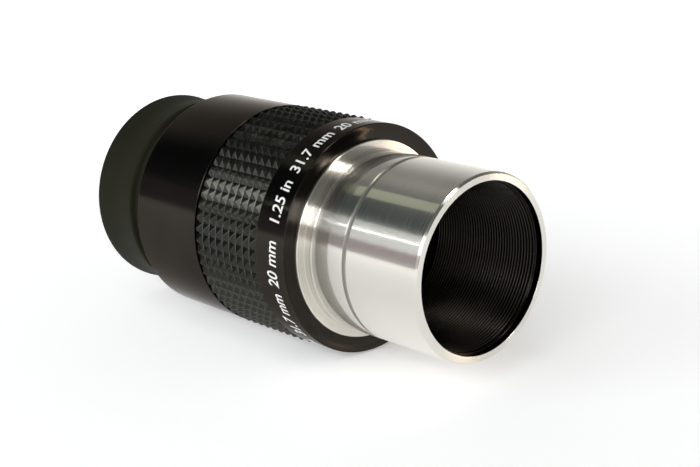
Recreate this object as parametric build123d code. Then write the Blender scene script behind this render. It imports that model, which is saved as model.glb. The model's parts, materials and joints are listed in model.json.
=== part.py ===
from build123d import *
import math
import os

# A 1.25 inch, 20 mm wide-field telescope eyepiece, in millimetres, lying on its side.
# The optical axis is X. +X points out of the nosepiece, towards the telescope. +Z is up.
# The origin is the centre of the shoulder, the flange face that stops against a focuser.

# ---- driving dimensions -------------------------------------------------------------------

# nosepiece
NOSE_R = 15.875            # 1.25 inch push-fit tube
MOUTH_X = 25.9             # open end
MOUTH_CHAMFER = 0.35
LEAD_IN_R = 14.46          # smooth band just inside the mouth
LEAD_IN_LENGTH = 1.3
FILTER_R = 14.25           # wall that stands for the M28.5 x 0.6 filter thread
FILTER_LENGTH = 4.0
NOSE_BORE_R = 14.0
RELIEF_FROM, RELIEF_TO, RELIEF_R = 1.7, 2.4, 15.7
GROOVE_FROM, GROOVE_TO, GROOVE_R = 9.22, 10.12, 15.64
FLANGE_R = 17.46
FLANGE_BACK_X = -0.6
FLANGE_ROUND = 0.2
SPIGOT_R = 16.2            # stands for the male thread
SPIGOT_END_X = -5.6
THREAD_CLEARANCE = 0.05    # radial, between parts that screw together
THREAD_RUN_OUT = 0.5       # free length past the end of a screwed-in part

# field stop
STOP_APERTURE_R = 11.6
STOP_FRONT_X, STOP_BACK_X = -3.3, -5.3
STOP_EDGE = 0.25
STOP_WALL = 1.0            # wall left at the front of the stop's cone

# front collar
COLLAR_R = 20.3
COLLAR_FRONT_X, COLLAR_BACK_X = -0.15, -7.35
COLLAR_DISH_R = 18.5       # inner edge of the dished front face
COLLAR_EDGE = 0.15
COLLAR_BORE_R = 14.6
COLLAR_SPIGOT_R = 17.9     # stands for the thread into the barrel

# grip ring
GRIP_FRONT_X = -7.5
GRIP_PITCH = 1.855         # pyramid spacing along the axis
GRIP_COLUMNS = 9
GRIP_TIP_R = 20.65
GRIP_VALLEY_R = 19.95
GRIP_SEAT_R = 18.9         # floor of the channel in the barrel

# barrel
BARREL_R = 20.45
BARREL_BACK_X = -41.8
BARREL_EDGE = 0.4
BARREL_RELIEF_R = 17.6     # turned away inside to save weight
BARREL_RELIEF_BACK_X = -34.0
CELL_PILOT_LENGTH = 2.0    # bore behind the cell's flange that centres the cell
EYE_SPIGOT_R = 16.1        # carries the eyecup
EYE_SPIGOT_BACK_X = -46.1
EYE_BORE_R = 13.5

# lens cell
CELL_FRONT_X = -12.2
CELL_FLANGE_R, CELL_FLANGE_BACK_X = 16.4, -13.6
CELL_BODY_R, CELL_BODY_BACK_X = 15.4, -37.9
CELL_TAIL_R, CELL_BACK_X = 13.4, -44.8
CELL_BORE_R = 13.6
CELL_THREAD_R = 14.05
CELL_LIP_R = 11.2

# lenses: edge radii, and the spherical radii of the surfaces
FIELD_R = 13.55
EYE_R = 12.0
EYE_BORE_CLEARANCE = 0.05
FIELD_FRONT_X = -17.0      # pole of the concave front of the field flint
FIELD_FLINT_THICK, FIELD_CROWN_THICK = 1.8, 9.0
FIELD_CURVES = (60.0, 28.0, 24.0)
CENTER_THICK = 6.0
CENTER_CURVES = (40.0, 55.0)
EYE_CROWN_THICK, EYE_FLINT_THICK = 7.8, 1.6
EYE_CURVES = (24.0, 22.0, 80.0)
AIR_GAP = 0.5              # between the poles of neighbouring lenses
FIELD_SPACER_R, EYE_SPACER_R = 12.7, 11.4

# retaining ring in front of the lenses
RETAINER_R, RETAINER_BORE_R = 14.0, 12.4
RETAINER_FRONT_X = -12.9
SLOT_WIDTH, SLOT_DEPTH = 1.2, 1.0

# ring round the eye lens
EYE_RING_R = 16.4
EYE_RING_BACK_X = -47.3
EYE_RING_NOSE_X = -44.9
EYE_RING_NOSE_R = 13.45
EYE_RING_MOUTH_R = 13.2

# eyecup: base on the spigot, thin skirt, thick rim
CUP_BASE_R, CUP_BASE_BACK_X = 17.7, -46.4
CUP_SKIRT_R, CUP_WALL = 18.2, 1.5
CUP_FLARE = 1.2
CUP_RIM_FRONT_X, CUP_RIM_BACK_X = -55.6, -58.0
CUP_RIM_R, CUP_RIM_INNER_R = 18.55, 16.2
CUP_RIM_ROUND = 0.9

SAME_PLACE = 0.01          # how close an edge is to a given place to be the one meant

# ---- shapes -------------------------------------------------------------------------------


def turned(outline):
    """A solid of revolution about the X axis, from a closed outline of (x, radius) points."""
    return revolve(make_face(Polyline(*outline, close=True)), Axis.X)


def ring(front_x, back_x, inner_r, outer_r):
    """A plain tube between two planes."""
    return turned([(front_x, inner_r), (front_x, outer_r), (back_x, outer_r), (back_x, inner_r)])


def sagitta(curve, radius):
    """How far a spherical surface falls away from its pole at a given radius."""
    return abs(curve) - math.sqrt(curve * curve - radius * radius)


def lens(front_x, back_x, edge_r, front_curve, back_curve):
    """A lens between two poles on the axis. A positive curve bulges out of the lens."""
    front_edge = front_x - math.copysign(sagitta(front_curve, edge_r), front_curve)
    back_edge = back_x + math.copysign(sagitta(back_curve, edge_r), back_curve)
    half_r = edge_r / 2
    front_half = front_x - math.copysign(sagitta(front_curve, half_r), front_curve)
    back_half = back_x + math.copysign(sagitta(back_curve, half_r), back_curve)
    front = ThreePointArc((front_x, 0), (front_half, half_r), (front_edge, edge_r))
    rim = Line((front_edge, edge_r), (back_edge, edge_r))
    back = ThreePointArc((back_edge, edge_r), (back_half, half_r), (back_x, 0))
    axis = Line((back_x, 0), (front_x, 0))
    return revolve(make_face([front, rim, back, axis]), Axis.X)


def circles_at(solid, x, radius):
    """The circular edges of a turned solid at one place along the axis and one radius."""
    return [
        edge
        for edge in solid.edges().filter_by(GeomType.CIRCLE)
        if abs(edge.arc_center.X - x) < SAME_PLACE and abs(edge.radius - radius) < SAME_PLACE
    ]


def nosepiece():
    """Push-fit tube with flange, relief ring, groove, filter thread wall and rear spigot."""
    thread_front = MOUTH_X - LEAD_IN_LENGTH
    body = turned(
        [
            (SPIGOT_END_X, NOSE_BORE_R),
            (SPIGOT_END_X, SPIGOT_R),
            (FLANGE_BACK_X, SPIGOT_R),
            (FLANGE_BACK_X, FLANGE_R),
            (0, FLANGE_R),
            (0, NOSE_R),
            (RELIEF_FROM, NOSE_R),
            (RELIEF_FROM, RELIEF_R),
            (RELIEF_TO, NOSE_R),
            (GROOVE_FROM, NOSE_R),
            (GROOVE_FROM, GROOVE_R),
            (GROOVE_TO, GROOVE_R),
            (GROOVE_TO, NOSE_R),
            (MOUTH_X - MOUTH_CHAMFER, NOSE_R),
            (MOUTH_X, NOSE_R - MOUTH_CHAMFER),
            (MOUTH_X, LEAD_IN_R),
            (thread_front, LEAD_IN_R),
            (thread_front, FILTER_R),
            (thread_front - FILTER_LENGTH, FILTER_R),
            (thread_front - FILTER_LENGTH, NOSE_BORE_R),
        ]
    )
    return fillet(circles_at(body, 0, FLANGE_R), FLANGE_ROUND)


def field_stop():
    """Ring with a thin edge that bounds the view."""
    return turned(
        [
            (STOP_BACK_X, STOP_APERTURE_R),
            (STOP_BACK_X + STOP_EDGE, STOP_APERTURE_R),
            (STOP_FRONT_X, NOSE_BORE_R - STOP_WALL),
            (STOP_FRONT_X, NOSE_BORE_R - THREAD_CLEARANCE),
            (STOP_BACK_X, NOSE_BORE_R - THREAD_CLEARANCE),
        ]
    )


def front_collar():
    """Lettering ring with a dished face, threaded for the nosepiece and for the barrel."""
    body = turned(
        [
            (FLANGE_BACK_X, SPIGOT_R + THREAD_CLEARANCE),
            (FLANGE_BACK_X, COLLAR_DISH_R),
            (COLLAR_FRONT_X, COLLAR_R),
            (COLLAR_BACK_X, COLLAR_R),
            (COLLAR_BACK_X, COLLAR_SPIGOT_R),
            (CELL_FRONT_X, COLLAR_SPIGOT_R),
            (CELL_FRONT_X, COLLAR_BORE_R),
            (SPIGOT_END_X - THREAD_RUN_OUT, COLLAR_BORE_R),
            (SPIGOT_END_X - THREAD_RUN_OUT, SPIGOT_R + THREAD_CLEARANCE),
        ]
    )
    return fillet(circles_at(body, COLLAR_FRONT_X, COLLAR_R), COLLAR_EDGE)


def grip_ring():
    """Rubber sleeve whose outside is a row of ridges, one for each column of pyramids."""
    outline = [(GRIP_FRONT_X, GRIP_SEAT_R), (GRIP_FRONT_X, GRIP_VALLEY_R)]
    for column in range(GRIP_COLUMNS):
        start = GRIP_FRONT_X - column * GRIP_PITCH
        outline.append((start - GRIP_PITCH / 2, GRIP_TIP_R))
        outline.append((start - GRIP_PITCH, GRIP_VALLEY_R))
    outline.append((GRIP_FRONT_X - GRIP_COLUMNS * GRIP_PITCH, GRIP_SEAT_R))
    return turned(outline)


def barrel():
    """Main housing: grip channel, gloss outside, and the spigot that carries the eyecup."""
    grip_back = GRIP_FRONT_X - GRIP_COLUMNS * GRIP_PITCH
    body = turned(
        [
            (GRIP_FRONT_X, COLLAR_SPIGOT_R),
            (GRIP_FRONT_X, GRIP_SEAT_R),
            (grip_back, GRIP_SEAT_R),
            (grip_back, BARREL_R),
            (BARREL_BACK_X, BARREL_R),
            (BARREL_BACK_X, EYE_SPIGOT_R),
            (EYE_SPIGOT_BACK_X, EYE_SPIGOT_R),
            (EYE_SPIGOT_BACK_X, EYE_BORE_R),
            (CELL_BODY_BACK_X - THREAD_RUN_OUT, EYE_BORE_R),
            (CELL_BODY_BACK_X - THREAD_RUN_OUT, CELL_BODY_R + THREAD_CLEARANCE),
            (BARREL_RELIEF_BACK_X, CELL_BODY_R + THREAD_CLEARANCE),
            (BARREL_RELIEF_BACK_X, BARREL_RELIEF_R),
            (CELL_FLANGE_BACK_X - CELL_PILOT_LENGTH, BARREL_RELIEF_R),
            (CELL_FLANGE_BACK_X - CELL_PILOT_LENGTH, CELL_BODY_R + THREAD_CLEARANCE),
            (CELL_FLANGE_BACK_X, CELL_BODY_R + THREAD_CLEARANCE),
            (CELL_FLANGE_BACK_X, CELL_FLANGE_R + THREAD_CLEARANCE),
            (CELL_FRONT_X, CELL_FLANGE_R + THREAD_CLEARANCE),
            (CELL_FRONT_X, COLLAR_SPIGOT_R),
        ]
    )
    return fillet(circles_at(body, BARREL_BACK_X, BARREL_R), BARREL_EDGE)


def stack():
    """Poles and seats of the lens stack along the axis, front to back."""
    s = {"field_front": FIELD_FRONT_X}
    s["field_cement"] = s["field_front"] - FIELD_FLINT_THICK
    s["field_back"] = s["field_cement"] - FIELD_CROWN_THICK
    s["center_front"] = s["field_back"] - AIR_GAP
    s["center_back"] = s["center_front"] - CENTER_THICK
    s["eye_front"] = s["center_back"] - AIR_GAP
    s["eye_cement"] = s["eye_front"] - EYE_CROWN_THICK
    s["eye_back"] = s["eye_cement"] - EYE_FLINT_THICK
    s["retainer_seat"] = s["field_front"] + sagitta(FIELD_CURVES[0], FIELD_R)
    s["field_spacer_front"] = s["field_back"] + sagitta(FIELD_CURVES[2], FIELD_SPACER_R)
    s["field_spacer_back"] = s["center_front"] - sagitta(CENTER_CURVES[0], FIELD_SPACER_R)
    s["eye_spacer_front"] = s["center_back"] + sagitta(CENTER_CURVES[1], EYE_SPACER_R)
    s["eye_spacer_back"] = s["eye_front"] - sagitta(EYE_CURVES[0], EYE_SPACER_R)
    s["lip"] = s["eye_back"] + sagitta(EYE_CURVES[2], CELL_LIP_R)
    return s


def lens_cell(s):
    """Stepped tube that holds the whole lens stack against a lip at the eye end."""
    step = s["eye_spacer_back"] - THREAD_CLEARANCE
    thread_back = s["retainer_seat"] - THREAD_CLEARANCE
    eye_bore = EYE_R + EYE_BORE_CLEARANCE
    return turned(
        [
            (CELL_FRONT_X, CELL_THREAD_R),
            (CELL_FRONT_X, CELL_FLANGE_R),
            (CELL_FLANGE_BACK_X, CELL_FLANGE_R),
            (CELL_FLANGE_BACK_X, CELL_BODY_R),
            (CELL_BODY_BACK_X, CELL_BODY_R),
            (CELL_BODY_BACK_X, CELL_TAIL_R),
            (CELL_BACK_X, CELL_TAIL_R),
            (CELL_BACK_X, CELL_LIP_R),
            (s["lip"], CELL_LIP_R),
            (s["lip"], eye_bore),
            (step, eye_bore),
            (step, CELL_BORE_R),
            (thread_back, CELL_BORE_R),
            (thread_back, CELL_THREAD_R),
        ]
    )


def cell_retaining_ring(s):
    """Threaded ring with two spanner slots across its front face."""
    slot = Pos(RETAINER_FRONT_X, 0, 0) * Box(2 * SLOT_DEPTH, 4 * RETAINER_R, SLOT_WIDTH)
    return ring(RETAINER_FRONT_X, s["retainer_seat"], RETAINER_BORE_R, RETAINER_R) - slot


def lenses(s):
    """The five elements: a doublet, a single lens and a doublet."""
    field_1, field_2, field_3 = FIELD_CURVES
    center_1, center_2 = CENTER_CURVES
    eye_1, eye_2, eye_3 = EYE_CURVES
    return {
        "field_flint": lens(s["field_front"], s["field_cement"], FIELD_R, -field_1, -field_2),
        "field_crown": lens(s["field_cement"], s["field_back"], FIELD_R, field_2, field_3),
        "center_lens": lens(s["center_front"], s["center_back"], FIELD_R, center_1, center_2),
        "eye_crown": lens(s["eye_front"], s["eye_cement"], EYE_R, eye_1, eye_2),
        "eye_flint": lens(s["eye_cement"], s["eye_back"], EYE_R, -eye_2, eye_3),
    }


def eye_ring():
    """Ring round the eye lens: a threaded nose, a flange over the eyecup's foot, a wide bevel."""
    return turned(
        [
            (EYE_RING_NOSE_X, CELL_LIP_R),
            (EYE_RING_NOSE_X, EYE_RING_NOSE_R),
            (EYE_SPIGOT_BACK_X, EYE_RING_NOSE_R),
            (EYE_SPIGOT_BACK_X, EYE_RING_R),
            (EYE_RING_BACK_X, EYE_RING_R),
            (EYE_RING_BACK_X, EYE_RING_MOUTH_R),
        ]
    )


def eyecup_base():
    """Foot of the rubber cup, stretched over the barrel's spigot."""
    foot_back = EYE_SPIGOT_BACK_X + THREAD_CLEARANCE
    return turned(
        [
            (BARREL_BACK_X, EYE_SPIGOT_R),
            (BARREL_BACK_X, CUP_BASE_R),
            (CUP_BASE_BACK_X, CUP_BASE_R),
            (CUP_BASE_BACK_X, EYE_RING_R + THREAD_CLEARANCE),
            (foot_back, EYE_RING_R + THREAD_CLEARANCE),
            (foot_back, EYE_SPIGOT_R),
        ]
    )


def eyecup_skirt():
    """Thin wall of the rubber cup, from the foot's shoulder to the rim."""
    return turned(
        [
            (CUP_BASE_BACK_X, CUP_SKIRT_R - CUP_WALL),
            (CUP_BASE_BACK_X, CUP_BASE_R),
            (CUP_BASE_BACK_X - CUP_FLARE, CUP_SKIRT_R),
            (CUP_RIM_FRONT_X, CUP_SKIRT_R),
            (CUP_RIM_FRONT_X, CUP_SKIRT_R - CUP_WALL),
        ]
    )


def eyecup_rim():
    """Thick rounded rim of the rubber cup, which rests against the brow."""
    body = ring(CUP_RIM_FRONT_X, CUP_RIM_BACK_X, CUP_RIM_INNER_R, CUP_RIM_R)
    outer = circles_at(body, CUP_RIM_BACK_X, CUP_RIM_R)
    inner = circles_at(body, CUP_RIM_BACK_X, CUP_RIM_INNER_R)
    return fillet(outer + inner, CUP_RIM_ROUND)


# ---- the parts ----------------------------------------------------------------------------

seats = stack()
parts = {
    "nosepiece": nosepiece(),
    "field_stop": field_stop(),
    "front_collar": front_collar(),
    "grip_ring": grip_ring(),
    "barrel": barrel(),
    "lens_cell": lens_cell(seats),
    "cell_retaining_ring": cell_retaining_ring(seats),
    "field_spacer": ring(
        seats["field_spacer_front"], seats["field_spacer_back"], FIELD_SPACER_R, FIELD_R
    ),
    "eye_spacer": ring(seats["eye_spacer_front"], seats["eye_spacer_back"], EYE_SPACER_R, FIELD_R),
    "eye_ring": eye_ring(),
    "eyecup_base": eyecup_base(),
    "eyecup_skirt": eyecup_skirt(),
    "eyecup_rim": eyecup_rim(),
    **lenses(seats),
}

os.makedirs("parts", exist_ok=True)
for name, solid in parts.items():
    export_step(solid, f"parts/{name}.step")
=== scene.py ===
import json
import math

import bmesh
import bpy
from mathutils import Matrix, Vector

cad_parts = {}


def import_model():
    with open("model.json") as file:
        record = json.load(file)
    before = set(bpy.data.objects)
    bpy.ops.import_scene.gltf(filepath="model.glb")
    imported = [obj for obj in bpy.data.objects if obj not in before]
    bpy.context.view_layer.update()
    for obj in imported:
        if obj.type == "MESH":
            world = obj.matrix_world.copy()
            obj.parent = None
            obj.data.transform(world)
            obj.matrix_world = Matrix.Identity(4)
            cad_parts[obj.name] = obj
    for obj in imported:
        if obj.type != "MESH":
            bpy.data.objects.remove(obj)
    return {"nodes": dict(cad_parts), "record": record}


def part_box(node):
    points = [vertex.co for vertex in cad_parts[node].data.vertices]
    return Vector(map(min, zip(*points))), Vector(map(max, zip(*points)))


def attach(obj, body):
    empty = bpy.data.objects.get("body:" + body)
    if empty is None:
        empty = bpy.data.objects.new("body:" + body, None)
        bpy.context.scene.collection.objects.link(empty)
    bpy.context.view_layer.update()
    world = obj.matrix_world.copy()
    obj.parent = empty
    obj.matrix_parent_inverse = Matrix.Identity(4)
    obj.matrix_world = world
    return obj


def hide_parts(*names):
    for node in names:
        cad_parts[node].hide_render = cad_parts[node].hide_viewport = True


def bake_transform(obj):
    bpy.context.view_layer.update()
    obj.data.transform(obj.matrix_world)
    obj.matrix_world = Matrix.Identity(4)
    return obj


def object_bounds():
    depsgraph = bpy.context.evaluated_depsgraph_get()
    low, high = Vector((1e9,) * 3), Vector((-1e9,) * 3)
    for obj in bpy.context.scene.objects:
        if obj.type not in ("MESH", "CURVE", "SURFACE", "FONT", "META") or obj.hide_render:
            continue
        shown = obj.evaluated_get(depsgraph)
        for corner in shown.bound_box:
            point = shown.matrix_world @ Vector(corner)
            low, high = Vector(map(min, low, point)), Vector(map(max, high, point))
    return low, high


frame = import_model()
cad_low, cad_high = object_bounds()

# The looks of a 1.25 inch telescope eyepiece, lying on its side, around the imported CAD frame.
# Everything is in metres in the row frame: X is the optical axis and points out of the nosepiece,
# Z is up. Angles round the axis are measured from +Y towards +Z, so 90 degrees is the top and
# 180 degrees the side that faces the camera.

MM = 0.001
STEPS = 256                # facets round a turned piece
EDGE = 0.06 * MM           # a broken edge on turned metal
ARC_STEPS = 4              # facets in a rounded corner
FLAT_TURN = 20.0           # outline corners that turn less than this, in degrees, are part of a curve
CORNER_SHARE = 0.4         # the most of an outline's run that one rounded corner may take
SUPPORT_SHARE = 0.2        # how far beyond an arc its extra point is, as a share of the arc's reach
SEAM_TOLERANCE = 1e-7      # how far off the plane of angle 0 a seam's vertex may be
JOIN_DISTANCE = 1e-7       # vertices nearer to each other than this become one
POINT_DIGITS = 7           # outline points that agree to this many decimals are one point
RADIUS_DIGITS = 6          # and so for radii
POLE_RADIUS = 0.01 * MM    # outline points nearer the axis than this are on it


# ---- outlines and meshes ------------------------------------------------------------------


def seam_outline(node):
    """The outline of a turned CAD node as a list of (x, radius), read off its seam at angle 0.

    It is a closed loop, or an open line between two poles if the node is solid on the axis."""
    mesh = frame["nodes"][node].data
    seam = {}
    for vertex in mesh.vertices:
        if abs(vertex.co.z) < SEAM_TOLERANCE and vertex.co.y > -SEAM_TOLERANCE:
            x, r = vertex.co.x, abs(vertex.co.y)
            seam[vertex.index] = (round(x, POINT_DIGITS), round(r, POINT_DIGITS))
    joined = {}
    for edge in mesh.edges:
        a, b = (seam.get(index) for index in edge.vertices)
        if a and b and a != b:
            joined.setdefault(a, set()).add(b)
            joined.setdefault(b, set()).add(a)
    ends = sorted(point for point in joined if len(joined[point]) == 1)
    line = [ends[0] if ends else min(joined)]
    while True:
        onward = [point for point in sorted(joined[line[-1]]) if point not in line]
        if not onward:
            return line
        line.append(onward[0])


def radii(node):
    """The different radii in the outline of a turned CAD node, smallest first."""
    return sorted({round(r, RADIUS_DIGITS) for _, r in seam_outline(node)})


def rounded(points, radius=EDGE):
    """The closed outline with its corners rounded. A point is (x, r) or (x, r, its own radius).

    Beside each arc it leaves one more point, so that smooth shading stays inside the corner."""
    result = []
    count = len(points)
    for i, point in enumerate(points):
        here = Vector(point[:2])
        own = point[2] if len(point) > 2 else radius
        before = Vector(points[i - 1][:2]) - here
        after = Vector(points[(i + 1) % count][:2]) - here
        turn = math.pi - before.angle(after)
        if math.degrees(turn) < FLAT_TURN and len(point) < 3:
            result.append(tuple(here))
            continue
        longest = CORNER_SHARE * min(before.length, after.length)
        reach = min(own * math.tan(turn / 2), longest)
        arc_radius = reach / math.tan(turn / 2)
        before.normalize()
        after.normalize()
        centre = here + (before + after).normalized() * math.hypot(arc_radius, reach)
        start, end = here + before * reach, here + after * reach
        result.append(tuple(start + before * reach * SUPPORT_SHARE))
        sweep = (start - centre).angle_signed(end - centre)
        for step in range(ARC_STEPS + 1):
            spoke = start - centre
            spoke.rotate(Matrix.Rotation(-sweep * step / ARC_STEPS, 2))
            result.append(tuple(centre + spoke))
        result.append(tuple(end + after * reach * SUPPORT_SHARE))
    return result


def divided(outline, longest):
    """The closed outline with its long runs divided into shorter ones."""
    result = []
    for i, point in enumerate(outline):
        a, b = Vector(point), Vector(outline[(i + 1) % len(outline)])
        parts = max(1, math.ceil((b - a).length / longest))
        result += [tuple(a.lerp(b, part / parts)) for part in range(parts)]
    return result


def mesh_object(name, vertices, faces, materials, smooth=True):
    """An object with joined vertices, outward normals and the given materials."""
    mesh = bpy.data.meshes.new(name)
    mesh.from_pydata(vertices, [], faces)
    work = bmesh.new()
    work.from_mesh(mesh)
    bmesh.ops.remove_doubles(work, verts=work.verts, dist=JOIN_DISTANCE)
    bmesh.ops.recalc_face_normals(work, faces=work.faces)
    for face in work.faces:
        face.smooth = smooth
    work.to_mesh(mesh)
    work.free()
    for material in materials:
        mesh.materials.append(material)
    piece = bpy.data.objects.new(name, mesh)
    bpy.context.scene.collection.objects.link(piece)
    return piece


def on_ring(x, radius, angle):
    """The point at x, at this radius and angle about the X axis."""
    return (x, radius * math.cos(angle), radius * math.sin(angle))


def lathe(name, outline, materials, closed=True, lift=None):
    """Turns an outline of (x, r) about the X axis. lift(x, r, angle) may change a point's radius."""
    vertices, rings = [], []
    for x, r in outline:
        if r < POLE_RADIUS:
            rings.append([len(vertices)] * STEPS)
            vertices.append((x, 0.0, 0.0))
            continue
        rings.append(list(range(len(vertices), len(vertices) + STEPS)))
        for step in range(STEPS):
            angle = math.tau * step / STEPS
            vertices.append(on_ring(x, lift(x, r, angle) if lift else r, angle))
    faces = []
    for i in range(len(rings) if closed else len(rings) - 1):
        a, b = rings[i], rings[(i + 1) % len(rings)]
        for step in range(STEPS):
            after = (step + 1) % STEPS
            corners = [a[step], a[after], b[after], b[step]]
            faces.append(list(dict.fromkeys(corners)))
    return mesh_object(name, vertices, faces, materials)


def place(piece, body, slot, *nodes):
    """Rides a piece on its body and hides the CAD nodes it stands for. Its slot argument is not used."""
    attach(piece, body)
    if nodes:
        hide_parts(*nodes)
    return piece


# ---- materials ----------------------------------------------------------------------------

RIDGE_PITCH = 0.6 * MM     # of the helix inside the nosepiece


class Look:
    """A Principled material and short ways to add nodes to it."""

    def __init__(self, name, colour, roughness, **settings):
        self.material = bpy.data.materials.new(name)
        self.material.use_nodes = True
        self.tree = self.material.node_tree
        self.shader = self.tree.nodes["Principled BSDF"]
        self.shader.inputs["Base Color"].default_value = (*colour, 1.0)
        self.shader.inputs["Roughness"].default_value = roughness
        for socket, value in settings.items():
            self.shader.inputs[socket.replace("_", " ")].default_value = value
        self.position = self.add("ShaderNodeTexCoord").outputs["Object"]

    def add(self, kind, inputs=None, **attributes):
        """A new node with its inputs linked or set."""
        node = self.tree.nodes.new(kind)
        for attribute, value in attributes.items():
            setattr(node, attribute, value)
        for socket, value in (inputs or {}).items():
            self.feed(node.inputs[socket], value)
        return node

    def feed(self, socket, value):
        """Links a socket to another, or sets it to a constant."""
        if isinstance(value, bpy.types.NodeSocket):
            self.tree.links.new(value, socket)
        else:
            socket.default_value = value

    def calculate(self, operation, *values):
        """The result of a Math node."""
        return self.add("ShaderNodeMath", dict(enumerate(values)), operation=operation).outputs[0]

    def length(self, vector):
        """The length of a vector."""
        node = self.add("ShaderNodeVectorMath", {0: vector}, operation="LENGTH")
        return node.outputs["Value"]

    def noise(self, scale, detail=2.0, where=None):
        """Noise from 0 to 1, in the piece's own space unless it is given another."""
        inputs = {"Vector": where or self.position, "Scale": scale, "Detail": detail}
        return self.add("ShaderNodeTexNoise", inputs).outputs["Fac"]

    def rings(self, scale, detail=2.0):
        """Noise from 0 to 1 in rings round the X axis, like the marks of a lathe tool."""
        x, y, z = self.add("ShaderNodeSeparateXYZ", {0: self.position}).outputs
        across = self.add("ShaderNodeCombineXYZ", {"Y": y, "Z": z}).outputs[0]
        profile = self.add("ShaderNodeCombineXYZ", {"X": x, "Y": self.length(across)}).outputs[0]
        return self.noise(scale, detail, profile)

    def spread(self, fac, low, high, start=0.3, end=0.7):
        """Maps fac from start and end to low and high, and holds it there outside them."""
        node = self.add(
            "ShaderNodeMapRange",
            {"Value": fac, "From Min": start, "From Max": end, "To Min": low, "To Max": high},
        )
        return node.outputs["Result"]

    def blend(self, fac, first, second, start=0.3, end=0.7):
        """Mixes two colours: the first where fac is below start, the second where it is above end."""
        ramp = self.add("ShaderNodeValToRGB", {"Fac": fac})
        ramp.color_ramp.elements[0].position = start
        ramp.color_ramp.elements[0].color = (*first, 1.0)
        ramp.color_ramp.elements[1].position = end
        ramp.color_ramp.elements[1].color = (*second, 1.0)
        return ramp.outputs["Color"]

    def bump(self, height, distance):
        """A normal from a height of 0 to 1, which stands for this distance in metres."""
        inputs = {"Height": height, "Distance": distance, "Strength": 1.0}
        return self.add("ShaderNodeBump", inputs).outputs["Normal"]

    def set(self, **sockets):
        """Links or sets the shader's sockets."""
        for socket, value in sockets.items():
            self.feed(self.shader.inputs[socket.replace("_", " ")], value)


def turned_aluminium():
    """Bright aluminium: fine turning marks spread the highlights along the axis, under a polish."""
    look = Look("turned_aluminium", (0.70, 0.675, 0.625), 0.25, Metallic=1.0, Anisotropic=1.0,
                Anisotropic_Rotation=0.25, Coat_Weight=1.0, Coat_Roughness=0.06, Coat_IOR=2.5)
    haze = look.noise(90.0, detail=4.0)
    look.set(
        Base_Color=look.blend(haze, (0.655, 0.622, 0.555), (0.69, 0.656, 0.588)),
        Roughness=look.spread(look.rings(38000.0), 0.235, 0.275),
        Normal=look.bump(look.rings(7000.0, detail=3.0), 0.00015 * MM),
        Tangent=look.add("ShaderNodeTangent", direction_type="RADIAL", axis="X").outputs[0],
    )
    return look.material


def groove_shade_aluminium():
    """Rougher aluminium for the groove round the tube, painted darker as painted shade in that recess.
    """
    look = Look("groove_shade_aluminium", (0.34, 0.325, 0.295), 0.42, Metallic=1.0)
    look.set(Roughness=look.spread(look.rings(9000.0), 0.34, 0.50))
    return look.material


def black_bore(front_x):
    """Black ridges inside the nosepiece, with a brown painted sheen on their crests and painted shade in
    their valleys.

    front_x is where the helix of ridges starts. The count of turns from there, minus the turn of
    the point itself, rises by 1 from ridge to ridge, and crest is its distance from a whole number."""
    look = Look("black_bore", (0.008, 0.006, 0.004), 0.42, Specular_Tint=(1.0, 0.90, 0.76, 1.0))
    x, y, z = look.add("ShaderNodeSeparateXYZ", {0: look.position}).outputs
    angle = look.calculate("ARCTAN2", z, y)
    turns_in = look.calculate("MULTIPLY_ADD", x, -1 / RIDGE_PITCH, front_x / RIDGE_PITCH)
    turns = look.calculate("MULTIPLY_ADD", angle, -1 / math.tau, turns_in)
    crest = look.calculate("PINGPONG", turns, 0.5)
    # the crest mask paints the valleys darker, as painted shade, and the crests brown and more
    # reflective, as a painted sheen
    painted_shade_to_sheen = {"start": 0.22, "end": 0.46}
    look.set(
        Base_Color=look.blend(crest, (0.0005, 0.0005, 0.0005), (0.003, 0.0023, 0.0015), **painted_shade_to_sheen),
        Specular_IOR_Level=look.spread(crest, 0.02, 0.58, **painted_shade_to_sheen),
        Roughness=look.spread(look.noise(160.0, detail=4.0), 0.22, 0.38),
    )
    return look.material


def gloss_anodised():
    """Smooth anodised aluminium, a very dark brown black, with faint turning lines."""
    look = Look("gloss_anodised", (0.038, 0.034, 0.029), 0.15, Metallic=1.0,
                Specular_Tint=(0.57, 0.55, 0.54, 1.0))
    clouds = look.noise(70.0, detail=5.0)
    look.set(
        Base_Color=look.blend(clouds, (0.034, 0.030, 0.0265), (0.043, 0.0385, 0.033)),
        Roughness=look.spread(clouds, 0.13, 0.20),
        Normal=look.bump(look.rings(2600.0, detail=4.0), 0.002 * MM),
    )
    return look.material


def satin_anodised(name="satin_anodised", roughness=(0.30, 0.42)):
    """Black anodised aluminium with less gloss and clearer turning lines."""
    look = Look(name, (0.012, 0.012, 0.012), roughness[0])
    lines = look.rings(3200.0, detail=3.0)
    look.set(
        Base_Color=look.blend(look.noise(120.0), (0.009, 0.009, 0.009), (0.016, 0.015, 0.014)),
        Roughness=look.spread(lines, *roughness),
        Normal=look.bump(lines, 0.004 * MM),
    )
    return look.material


def grip_rubber():
    """Moulded black rubber with a slight sheen and a fine skin."""
    look = Look("grip_rubber", (0.003, 0.003, 0.002), 0.22, Specular_IOR_Level=0.42,
                Specular_Tint=(1.0, 1.0, 0.82, 1.0))
    skin = look.noise(5200.0, detail=3.0)
    patches = look.noise(420.0, detail=4.0)
    look.set(
        Base_Color=look.blend(patches, (0.0016, 0.0016, 0.0011), (0.0035, 0.0035, 0.0025)),
        Roughness=look.spread(patches, 0.15, 0.29),
        Normal=look.bump(skin, 0.012 * MM),
    )
    return look.material


def grip_polish():
    """The same rubber, shiny in the grooves where the mould was polished."""
    look = Look("grip_polish", (0.004, 0.004, 0.003), 0.15, Specular_IOR_Level=1.0)
    look.set(Roughness=look.spread(look.noise(900.0, detail=3.0), 0.10, 0.24))
    return look.material


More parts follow.
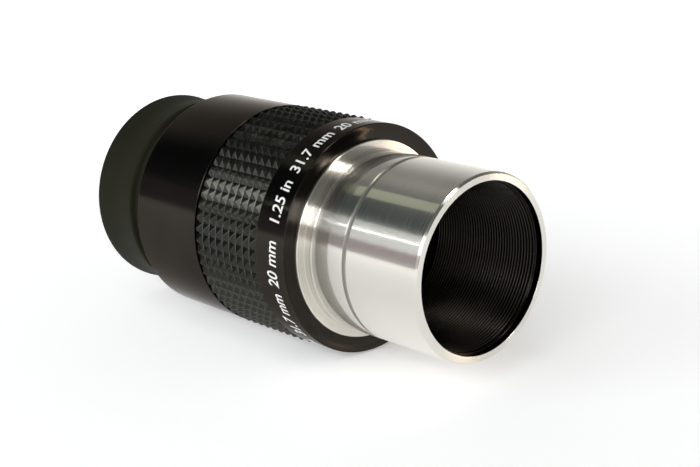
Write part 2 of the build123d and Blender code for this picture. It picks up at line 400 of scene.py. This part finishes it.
def cup_rubber():
    """Matt grey-black rubber with a powdery bloom and a fine grain."""
    look = Look("cup_rubber", (0.0105, 0.0106, 0.0056), 0.68, Specular_IOR_Level=0.13,
                Specular_Tint=(1.0, 1.0, 0.80, 1.0))
    grain = look.noise(4200.0, detail=4.0)
    bloom = look.noise(95.0, detail=5.0)
    look.set(
        Base_Color=look.blend(bloom, (0.0085, 0.0086, 0.0045), (0.0125, 0.0126, 0.0068)),
        Roughness=look.spread(bloom, 0.62, 0.74),
        Normal=look.bump(grain, 0.01 * MM),
    )
    return look.material


def white_paint():
    """White enamel that fills the marks on the collar."""
    look = Look("white_paint", (0.82, 0.82, 0.80), 0.45)
    wear = look.noise(2400.0, detail=3.0)
    look.set(
        Base_Color=look.blend(wear, (0.74, 0.74, 0.72), (0.86, 0.86, 0.84)),
        Roughness=look.spread(wear, 0.38, 0.52),
    )
    return look.material


def coated_glass(name, ior, film):
    """Optical glass. film is the thickness of its anti-reflection coating in nanometres, which is
    magnesium fluoride."""
    look = Look(name, (0.97, 0.985, 0.975), 0.0, Transmission_Weight=1.0, IOR=ior,
                Thin_Film_Thickness=film, Thin_Film_IOR=1.38)
    smear = look.noise(60.0, detail=3.0)
    look.set(Roughness=look.spread(smear, 0.0, 0.015))
    return look.material


def floor_paper():
    """Plain pale sweep that glows like a light table; the glow is painted weaker near the object, as
    painted shade around it and a painted shadow right under it.
    """
    look = Look("floor_paper", (0.86, 0.86, 0.86), 0.9, Specular_IOR_Level=0.1,
                Emission_Color=(1.0, 0.995, 0.985, 1.0))
    fibre = look.noise(700.0, detail=3.0)
    distance = look.length(look.position)
    # the glow is painted weaker close to the object: painted shade out to about 0.36 m, and a deeper
    # painted shadow right under it
    far = look.spread(distance, 0.42, 0.68, start=0.03, end=0.36)
    painted_shadow_near = look.spread(distance, 0.35, 1.0, start=0.004, end=0.028)
    look.set(
        Base_Color=look.blend(fibre, (0.855, 0.857, 0.86), (0.865, 0.865, 0.865)),
        Emission_Strength=look.calculate("MULTIPLY", far, painted_shadow_near),
    )
    return look.material


ALUMINIUM = turned_aluminium()
GROOVE_SHADE = groove_shade_aluminium()
GLOSS = gloss_anodised()
SATIN = satin_anodised()
MATT = satin_anodised("black_alloy", (0.45, 0.60))
GRIP = grip_rubber()
POLISH = grip_polish()
CUP = cup_rubber()
PAINT = white_paint()
CROWN = coated_glass("crown_glass", 1.52, 105.0)
FLINT = coated_glass("flint_glass", 1.65, 125.0)

# ---- nosepiece ----------------------------------------------------------------------------

RIDGE_DEPTH = 0.38 * MM
RIDGE_SAMPLES = 10         # points of the outline for each ridge
RIDGES_END_X = 2.0 * MM    # the ridges stop this far out from the shoulder
SINK_LENGTH = 4.0 * MM     # over this length the ridges sink from the filter thread to the bore
GROOVE_X = (9.0 * MM, 10.4 * MM)  # the groove round the tube lies between these two


def mount_radius(name):
    """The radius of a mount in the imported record."""
    mount = next(mount for mount in frame["record"]["mounts"] if mount["name"] == name)
    return mount["dims"]["r_mm"] * MM


def ridged(outline, front_x, thread_r):
    """The outline with its straight bore replaced by the points that the ridges need."""
    ridge_points = [
        (front_x - RIDGE_PITCH * i / RIDGE_SAMPLES, thread_r)
        for i in range(1, int((front_x - RIDGES_END_X) / RIDGE_PITCH * RIDGE_SAMPLES))
    ]
    bore_end_x = front_x - EDGE
    inside = [(x, r) for x, r in outline if r < thread_r + EDGE and RIDGES_END_X < x < bore_end_x]
    at = min(outline.index(point) for point in inside)
    kept = [point for point in outline if point not in inside]
    comes_from_the_back = kept[at - 1][0] < front_x - MM
    if comes_from_the_back:
        ridge_points.reverse()
    return kept[:at] + ridge_points + kept[at:]


def nosepiece():
    """The push-fit tube: bright outside and at the mouth, with helical black ridges inside."""
    outline = rounded(seam_outline("nosepiece"))
    mouth_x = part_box("nosepiece")[1].x
    tube_r = mount_radius("nosepiece")
    thread_r = mount_radius("filter_thread")
    bore_r = min(r for _, r in outline)
    lead_in = [(x, r) for x, r in outline if thread_r + EDGE < r < tube_r - MM and x > 0]
    lead_in_r = max(r for _, r in lead_in)
    front_x = min(x for x, _ in lead_in) - EDGE

    def lift(x, r, angle):
        """The radius at a point: in the bore a ridge runs round it as a screw thread does,
        and fades out over its last turn at each end."""
        if not (RIDGES_END_X < x < front_x and r < thread_r + EDGE):
            return r
        turn = (front_x - x) / RIDGE_PITCH - angle / math.tau
        crest = 1 - abs(2 * (turn % 1) - 1)
        fade = min(1.0, (front_x - x) / RIDGE_PITCH, (x - RIDGES_END_X) / RIDGE_PITCH)
        sink = (thread_r - bore_r) * min(1.0, (front_x - x) / SINK_LENGTH)
        return thread_r - sink + (0.5 - crest) * RIDGE_DEPTH * fade

    bore = black_bore(front_x)
    materials = [ALUMINIUM, bore, GROOVE_SHADE, GLOSS]
    piece = lathe("nosepiece_tube", ridged(outline, front_x, thread_r), materials, lift=lift)
    for face in piece.data.polygons:
        x = face.center.x
        radius = math.hypot(face.center.y, face.center.z)
        if front_x < x < mouth_x - EDGE and radius < lead_in_r + EDGE / 2:
            face.material_index = materials.index(GLOSS)
        elif radius < lead_in_r - EDGE and x < mouth_x - EDGE:
            face.material_index = materials.index(bore)
        # faces in the groove get the darker aluminium, as painted shade
        elif GROOVE_X[0] < x < GROOVE_X[1] and radius < tube_r - 2 * EDGE:
            face.material_index = materials.index(GROOVE_SHADE)
    return place(piece, "nosepiece", "turned_aluminium", "nosepiece")


# ---- collar and its marks -----------------------------------------------------------------

MARKS = ["20 mm", "1.25 in", "31.7 mm"] * 4
FIRST_MARK = 184.0         # angle of the first mark; each next one is above it on the camera's side
MARK_BAND_BACK_X = -6.1 * MM  # the marks are centred between here and the collar's front
MARK_HEIGHT = 2.45 * MM
MARK_PROUD = 0.02 * MM
MARK_WIDTH = 0.84          # the letters are condensed
MARK_SLANT = 0.12
MARK_BOLDNESS = 0.02       # widening of the strokes, as a share of the height
CAPITAL_SHARE = 0.7        # height of the font's capitals as a share of its size
MARK_JOIN_DISTANCE = 1e-6
MARK_CURVE_STEPS = 6       # segments in each curve of a letter


def collar():
    """The black ring in front of the grip."""
    piece = lathe("collar_ring", rounded(seam_outline("front_collar"), radius=2 * EDGE), [GLOSS])
    return place(piece, "housing", "gloss_anodised", "front_collar")


def flat_mark(text):
    """A text as a flat mesh in bmesh form, with its long edges divided so that it can bend."""
    curve = bpy.data.curves.new("text", "FONT")
    curve.body = text
    curve.align_x = "CENTER"
    curve.align_y = "CENTER"
    curve.size = MARK_HEIGHT / CAPITAL_SHARE
    curve.shear = MARK_SLANT
    curve.resolution_u = MARK_CURVE_STEPS
    curve.offset = MARK_HEIGHT * MARK_BOLDNESS
    holder = bpy.data.objects.new("text", curve)
    flat = bpy.data.meshes.new_from_object(holder)
    work = bmesh.new()
    work.from_mesh(flat)
    bpy.data.objects.remove(holder)
    bpy.data.meshes.remove(flat)
    bpy.data.curves.remove(curve)
    bmesh.ops.remove_doubles(work, verts=work.verts, dist=MARK_JOIN_DISTANCE)
    long_edges = [edge for edge in work.edges if edge.calc_length() > MARK_HEIGHT / 3]
    bmesh.ops.subdivide_edges(work, edges=long_edges, cuts=3)
    bmesh.ops.triangulate(work, faces=work.faces)
    work.verts.index_update()
    return work


def mark(text, middle_angle):
    """Vertices and faces of one text, wrapped round the collar and reading upwards."""
    collar_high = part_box("front_collar")[1]
    middle_x = (collar_high.x + MARK_BAND_BACK_X) / 2
    work = flat_mark(text)
    vertices = []
    for vertex in work.verts:
        angle = math.radians(middle_angle) - vertex.co.x * MARK_WIDTH / collar_high.z
        vertices.append(on_ring(middle_x - vertex.co.y, collar_high.z + MARK_PROUD, angle))
    faces = [[vertex.index for vertex in face.verts] for face in work.faces]
    work.free()
    return vertices, faces


def collar_marks():
    """Plain measures round the collar, as thin raised paint."""
    vertices, faces = [], []
    for i, text in enumerate(MARKS):
        more_vertices, more_faces = mark(text, FIRST_MARK - 360 * i / len(MARKS))
        faces += [[index + len(vertices) for index in face] for face in more_faces]
        vertices += more_vertices
    piece = mesh_object("collar_marks", vertices, faces, [PAINT])
    solid = piece.modifiers.new("thickness", "SOLIDIFY")
    solid.thickness = 2 * MARK_PROUD
    solid.offset = -1
    return place(piece, "housing", "gloss_anodised")


# ---- grip ---------------------------------------------------------------------------------

GRIP_ROWS = 60             # pyramids round the sleeve
GRIP_COLUMNS = 9           # along it
COLUMN_GAP = 0.12          # share of the pitch that is a round-bottomed groove between two columns
GROOVE_STEPS = 4           # facets across that groove
EDGE_CUT = 0.05            # share of a pyramid's height that is cut off its edges
GRIP_CLEARANCE = 0.12 * MM  # dark line between the sleeve and the collar


def pyramid_quarter():
    """Faces of a quarter pyramid as (a, b, height): a and b run from 0 at its corner to 1 at its tip."""
    cut, top = 2 * EDGE_CUT, 1 - 2 * EDGE_CUT
    return [
        [(0, 0, 0), (cut, 0, 0), (0, cut, 0)],
        [(cut, 0, 0), (1, 0, 0), (1, top, top)],
        [(0, cut, 0), (0, 1, 0), (top, 1, top)],
        [(cut, 0, 0), (1, top, top), (1, 1, 1 - EDGE_CUT), (top, 1, top), (0, cut, 0)],
    ]


def pyramid(middle_x, row, reach, valley_r, rise):
    """Faces of one pyramid, with corners of (x, place round the sleeve in rows, radius)."""
    return [
        [(middle_x + along * (1 - a), row + 0.5 + around * (1 - b), valley_r + rise * height)
         for a, b, height in face]
        for along in (-reach, reach)
        for around in (-0.5, 0.5)
        for face in pyramid_quarter()
    ]


def groove_arc(half_gap, slope, valley_r):
    """Points of the groove between two columns as (distance from its middle, radius).

    It is an arc that carries on from the slope of the pyramids on both sides."""
    arc_r = half_gap / math.sin(slope)
    points = []
    for step in range(GROOVE_STEPS + 1):
        tilt = slope * (2 * step / GROOVE_STEPS - 1)
        points.append((arc_r * math.sin(tilt), valley_r - arc_r * (math.cos(tilt) - math.cos(slope))))
    return points


def grip_bands(front_x, back_x, seat_r, valley_r, pitch, half_gap, slope):
    """The bands between and beside the columns, each from one (x, radius) to another."""
    corners = [(front_x, seat_r), (front_x, valley_r), (front_x - half_gap, valley_r)]
    bands = list(zip(corners, corners[1:]))
    corners = [(back_x + half_gap, valley_r), (back_x, valley_r), (back_x, seat_r), (front_x, seat_r)]
    bands += zip(corners, corners[1:])
    arc = groove_arc(half_gap, slope, valley_r)
    for column in range(1, GRIP_COLUMNS):
        border = front_x - pitch * column
        bands += [((border - a, r_a), (border - b, r_b)) for (a, r_a), (b, r_b) in zip(arc, arc[1:])]
    return bands


def grip():
    """Rubber sleeve of square pyramids with cut edges, and small grooves between its columns."""
    low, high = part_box("grip_ring")
    seat_r, valley_r = radii("grip_ring")[:2]
    rise = (high.z - valley_r) / (1 - EDGE_CUT)
    front_x = high.x - GRIP_CLEARANCE
    pitch = (front_x - low.x) / GRIP_COLUMNS
    reach = pitch * (1 - COLUMN_GAP) / 2
    slope = math.atan2(rise, reach)
    shapes = []
    for column in range(GRIP_COLUMNS):
        for row in range(GRIP_ROWS):
            shapes += pyramid(front_x - pitch * (column + 0.5), row, reach, valley_r, rise)
    first_band = len(shapes)
    bands = grip_bands(front_x, low.x, seat_r, valley_r, pitch, pitch / 2 - reach, slope)
    for row in range(GRIP_ROWS):
        stops = (row, row + EDGE_CUT, row + 0.5, row + 1 - EDGE_CUT, row + 1)
        for here, after in zip(stops, stops[1:]):
            for (x0, r0), (x1, r1) in bands:
                shapes.append([(x0, here, r0), (x0, after, r0), (x1, after, r1), (x1, here, r1)])
    vertices, faces = [], []
    for corners in shapes:
        faces.append(list(range(len(vertices), len(vertices) + len(corners))))
        vertices += [on_ring(x, r, math.tau * around / GRIP_ROWS) for x, around, r in corners]
    materials = [GRIP, POLISH]
    piece = mesh_object("grip_sleeve", vertices, faces, materials, smooth=False)
    for face in piece.data.polygons:
        if face.index >= first_band:
            face.material_index = materials.index(POLISH)
    return place(piece, "housing", "grip_rubber", "grip_ring")


# ---- barrel and eye end -------------------------------------------------------------------

GLASS_LENGTH_SHARE = 0.998  # the lenses are this much smaller than the CAD, so that cemented
GLASS_RADIUS_SHARE = 0.999  # faces don't lie in one place and light passes through them
CUP_RUN = 0.4 * MM         # longest straight run in the eyecup's outline
CUP_POCKET_DEPTH = 0.35 * MM  # how far the pocket behind the base reaches under it


def barrel():
    """The long black housing."""
    piece = lathe("barrel_shell", rounded(seam_outline("barrel"), radius=2 * EDGE), [GLOSS])
    return place(piece, "housing", "gloss_anodised", "barrel")


def eye_ring():
    """The ring round the eye lens."""
    piece = lathe("eye_ring_turned", rounded(seam_outline("eye_ring")), [SATIN])
    return place(piece, "housing", "satin_anodised", "eye_ring")


def lenses():
    """The five elements, smooth, with a hair of air between cemented faces."""
    for node, glass, slot in (
        ("field_flint", FLINT, "flint_glass"),
        ("field_crown", CROWN, "crown_glass"),
        ("center_lens", CROWN, "crown_glass"),
        ("eye_crown", CROWN, "crown_glass"),
        ("eye_flint", FLINT, "flint_glass"),
    ):
        outline = seam_outline(node)
        middle = (outline[0][0] + outline[-1][0]) / 2
        outline = [
            (middle + (x - middle) * GLASS_LENGTH_SHARE, r * GLASS_RADIUS_SHARE) for x, r in outline
        ]
        piece = lathe(node + "_polished", outline, [glass], closed=False)
        place(piece, "housing", slot, node)


def eyecup():
    """One rubber moulding: neck, shoulder, waisted skirt and rounded rim.

    Its outline has points of (x, radius, corner radius), and its sizes come from the CAD nodes."""
    base_low, base_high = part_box("eyecup_base")
    skirt_low, skirt_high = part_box("eyecup_skirt")
    rim_low, rim_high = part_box("eyecup_rim")
    foot, pocket = radii("eyecup_base")[:2]
    bore = radii("eyecup_rim")[0]
    neck = base_high.z
    waist_x = (skirt_low.x + skirt_high.x) / 2
    outline = [
        (base_high.x, foot, 0.1 * MM),  # front of the neck, where it meets the spigot
        (base_high.x, neck, 0.3 * MM),
        (base_low.x + 0.2 * MM, neck - 0.1 * MM, 0.3 * MM),  # foot of the shoulder
        (base_low.x - 0.3 * MM, rim_high.z + 0.1 * MM, 0.5 * MM),  # top of the shoulder
        (waist_x - 1.0 * MM, skirt_high.z - 0.12 * MM, 30 * MM),  # the waist, a long soft bend
        (rim_low.x + 0.3 * MM, rim_high.z, 0.8 * MM),  # outside of the rim
        (rim_low.x, rim_high.z - 1.0 * MM, 0.5 * MM),
        (rim_low.x, bore + 0.3 * MM, 0.6 * MM),  # inside of the rim
        (skirt_low.x + 0.5 * MM, bore, 2 * MM),
        (skirt_high.x - 0.8 * MM, bore + 0.5 * MM, 0.8 * MM),  # deep end of the hollow
        (skirt_high.x, pocket, 0.1 * MM),
        (base_low.x + CUP_POCKET_DEPTH, pocket, 0.05 * MM),  # the pocket under the base
        (base_low.x + CUP_POCKET_DEPTH, foot, 0.05 * MM),
    ]
    piece = lathe("eyecup_rubber", divided(rounded(outline), CUP_RUN), [CUP])
    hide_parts("eyecup_base", "eyecup_skirt", "eyecup_rim")
    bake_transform(piece)


def inner_nodes():
    """The CAD nodes that stay as they are, in matt black."""
    for node in ("field_stop", "lens_cell", "cell_retaining_ring", "field_spacer", "eye_spacer"):
        mesh = frame["nodes"][node].data
        mesh.materials.clear()
        mesh.materials.append(MATT)


nosepiece()
collar()
collar_marks()
grip()
barrel()
eye_ring()
lenses()
eyecup()
inner_nodes()

# ---- camera -------------------------------------------------------------------------------

CAMERA_AZIMUTH = 47.16     # degrees from straight in front, at -Y, towards +X
CAMERA_ELEVATION = 14.54   # degrees above the level of the axis
CAMERA_DISTANCE = 244.7 * MM
CAMERA_TARGET = Vector((-2.88, -2.75, 0.94)) * MM
CAMERA_LENS = 72.5
CAMERA_CLIP = (0.01, 20.0)  # nearest and farthest distance that it sees


def camera():
    """A long lens at the photograph's angle."""
    azimuth, elevation = math.radians(CAMERA_AZIMUTH), math.radians(CAMERA_ELEVATION)
    back = Vector((math.sin(azimuth) * math.cos(elevation),
                   -math.cos(azimuth) * math.cos(elevation), math.sin(elevation)))
    data = bpy.data.cameras.new("camera")
    data.lens = CAMERA_LENS
    data.clip_start = CAMERA_CLIP[0]
    data.clip_end = CAMERA_CLIP[1]
    holder = bpy.data.objects.new("camera", data)
    bpy.context.scene.collection.objects.link(holder)
    holder.location = CAMERA_TARGET + back * CAMERA_DISTANCE
    holder.rotation_euler = (-back).to_track_quat("-Z", "Y").to_euler()
    bpy.context.scene.camera = holder


# ---- floor and light ----------------------------------------------------------------------

FLOOR_RADIUS = 3.0
FLOOR_SIDES = 64


def floor():
    """A round floor that touches the lowest point of the part."""
    corners = []
    for i in range(FLOOR_SIDES):
        angle = math.tau * i / FLOOR_SIDES
        corners.append((FLOOR_RADIUS * math.cos(angle), FLOOR_RADIUS * math.sin(angle), cad_low.z))
    piece = mesh_object("floor", corners, [list(range(FLOOR_SIDES))], [floor_paper()])
    if piece.data.polygons[0].normal.z < 0:
        piece.data.flip_normals()


def panel(name, around, along, distance, width, height, radiance, colour=(1, 1, 1), seen=None):
    """A soft panel that faces the object. around is its angle about the X axis, and along its lean
    towards +X, both in degrees. radiance is what a mirror would show, where 1 is white.
    seen limits it to "gloss", highlights alone, or to "matt", which leaves the highlights out."""
    a, b = math.radians(around), math.radians(along)
    back = Vector((math.sin(b), math.cos(b) * math.cos(a), math.cos(b) * math.sin(a)))
    data = bpy.data.lights.new(name, "AREA")
    data.shape = "RECTANGLE"
    data.size, data.size_y = width, height
    data.color = colour
    data.energy = radiance * math.pi * width * height
    holder = bpy.data.objects.new(name, data)
    bpy.context.scene.collection.objects.link(holder)
    across = (Vector((1, 0, 0)) - back * back.x).normalized()
    turn = Matrix((across, back.cross(across), back)).transposed()
    holder.matrix_world = Matrix.Translation(back * distance) @ turn.to_4x4()
    holder.visible_glossy = seen != "matt"
    holder.visible_diffuse = seen != "gloss"
    holder.visible_camera = False


# colours of the room by the height of a direction: 0 is level or below, and 1 is straight up
ROOM_BEHIND = [
    (0.0, (1.15, 1.13, 1.08)),
    (0.25, (1.0, 0.985, 0.94)),
    (0.36, (0.88, 0.87, 0.83)),
    (0.466, (0.70, 0.69, 0.66)),
    (0.55, (0.50, 0.49, 0.47)),
    (0.62, (0.33, 0.32, 0.31)),
    (0.70, (0.18, 0.18, 0.17)),
    (1.0, (0.12, 0.12, 0.12)),
]
ROOM_IN_FRONT = [
    (0.0, (0.37, 0.325, 0.34)),
    (0.20, (0.34, 0.295, 0.32)),
    (0.26, (0.09, 0.11, 0.12)),
    (0.50, (0.045, 0.058, 0.062)),
    (0.62, (0.07, 0.085, 0.085)),
    (1.0, (0.11, 0.12, 0.12)),
]
SIDE_EDGE = (-0.25, 0.10)  # Y of a direction, from the camera's side to the side behind the object
END_EDGE = (-0.30, -0.60)  # X of a direction, from the rest of the room to the eyecup's end of it
REST_SHARE = 0.25          # share of the colours behind the object in the rest of the room


def height_ramp(tree, height, stops):
    """A colour for each height in the room."""
    ramp = tree.nodes.new("ShaderNodeValToRGB")
    tree.links.new(height, ramp.inputs["Fac"])
    elements = ramp.color_ramp.elements
    while len(elements) < len(stops):
        elements.new(1.0)
    for element, (position, colour) in zip(elements, stops):
        element.position = position
        element.color = (*colour, 1.0)
    return ramp.outputs["Color"]


def smooth_step(tree, value, start, end):
    """A node that rises from 0 to 1 while value goes from start to end."""
    step = tree.nodes.new("ShaderNodeMapRange")
    step.interpolation_type = "SMOOTHSTEP"
    tree.links.new(value, step.inputs["Value"])
    step.inputs["From Min"].default_value = start
    step.inputs["From Max"].default_value = end
    return step


def world():
    """A plain room: pale low down behind the object, darker overhead and on the camera's side.

    The two sides differ at the eyecup's end, and are mixed evenly in the rest of the room."""
    room = bpy.data.worlds.new("room")
    bpy.context.scene.world = room
    room.use_nodes = True
    tree = room.node_tree
    axes = tree.nodes.new("ShaderNodeSeparateXYZ")
    tree.links.new(tree.nodes.new("ShaderNodeTexCoord").outputs["Generated"], axes.inputs[0])
    side = smooth_step(tree, axes.outputs["Y"], *SIDE_EDGE)
    end = smooth_step(tree, axes.outputs["X"], *END_EDGE)
    end.inputs["To Min"].default_value = REST_SHARE
    tree.links.new(side.outputs["Result"], end.inputs["To Max"])
    both = tree.nodes.new("ShaderNodeMix")
    both.data_type = "RGBA"
    tree.links.new(end.outputs["Result"], both.inputs["Factor"])
    tree.links.new(height_ramp(tree, axes.outputs["Z"], ROOM_IN_FRONT), both.inputs[6])
    tree.links.new(height_ramp(tree, axes.outputs["Z"], ROOM_BEHIND), both.inputs[7])
    tree.links.new(both.outputs[2], tree.nodes["Background"].inputs["Color"])


def lights():
    """The studio's panels. The lamps show as highlights alone, so they cast no hard shadow."""
    # name, around, along, distance, width, height, radiance, colour
    panel("overhead", 130, 0, 4.0, 4.0, 4.0, 1.20, seen="matt")
    panel("window", 153.8, -14, 1.8, 1.0, 0.60, 3.05, (0.92, 0.98, 1.02))
    panel("softbox", 152, 27, 1.8, 0.96, 0.60, 6.4, (0.96, 0.99, 1.01))
    panel("tube", 152, -22, 1.76, 1.72, 0.012, 12.0)
    panel("shelf", 105, -41.5, 0.40, 0.074, 0.07, 0.54, (1.0, 1.05, 0.72))
    panel("lamp", 83, 36, 2.0, 0.34, 0.36, 24.0, (1.0, 0.97, 0.92), seen="gloss")
    panel("lamp_glow", 85, 36, 2.1, 0.66, 0.70, 1.6, (1.0, 0.98, 0.95), seen="gloss")
    panel("rear", 6, 28, 2.0, 0.90, 0.40, 9.0, (1.0, 0.74, 0.50), seen="gloss")


camera()
floor()
world()
lights()
bpy.context.scene.view_settings.view_transform = "Standard"
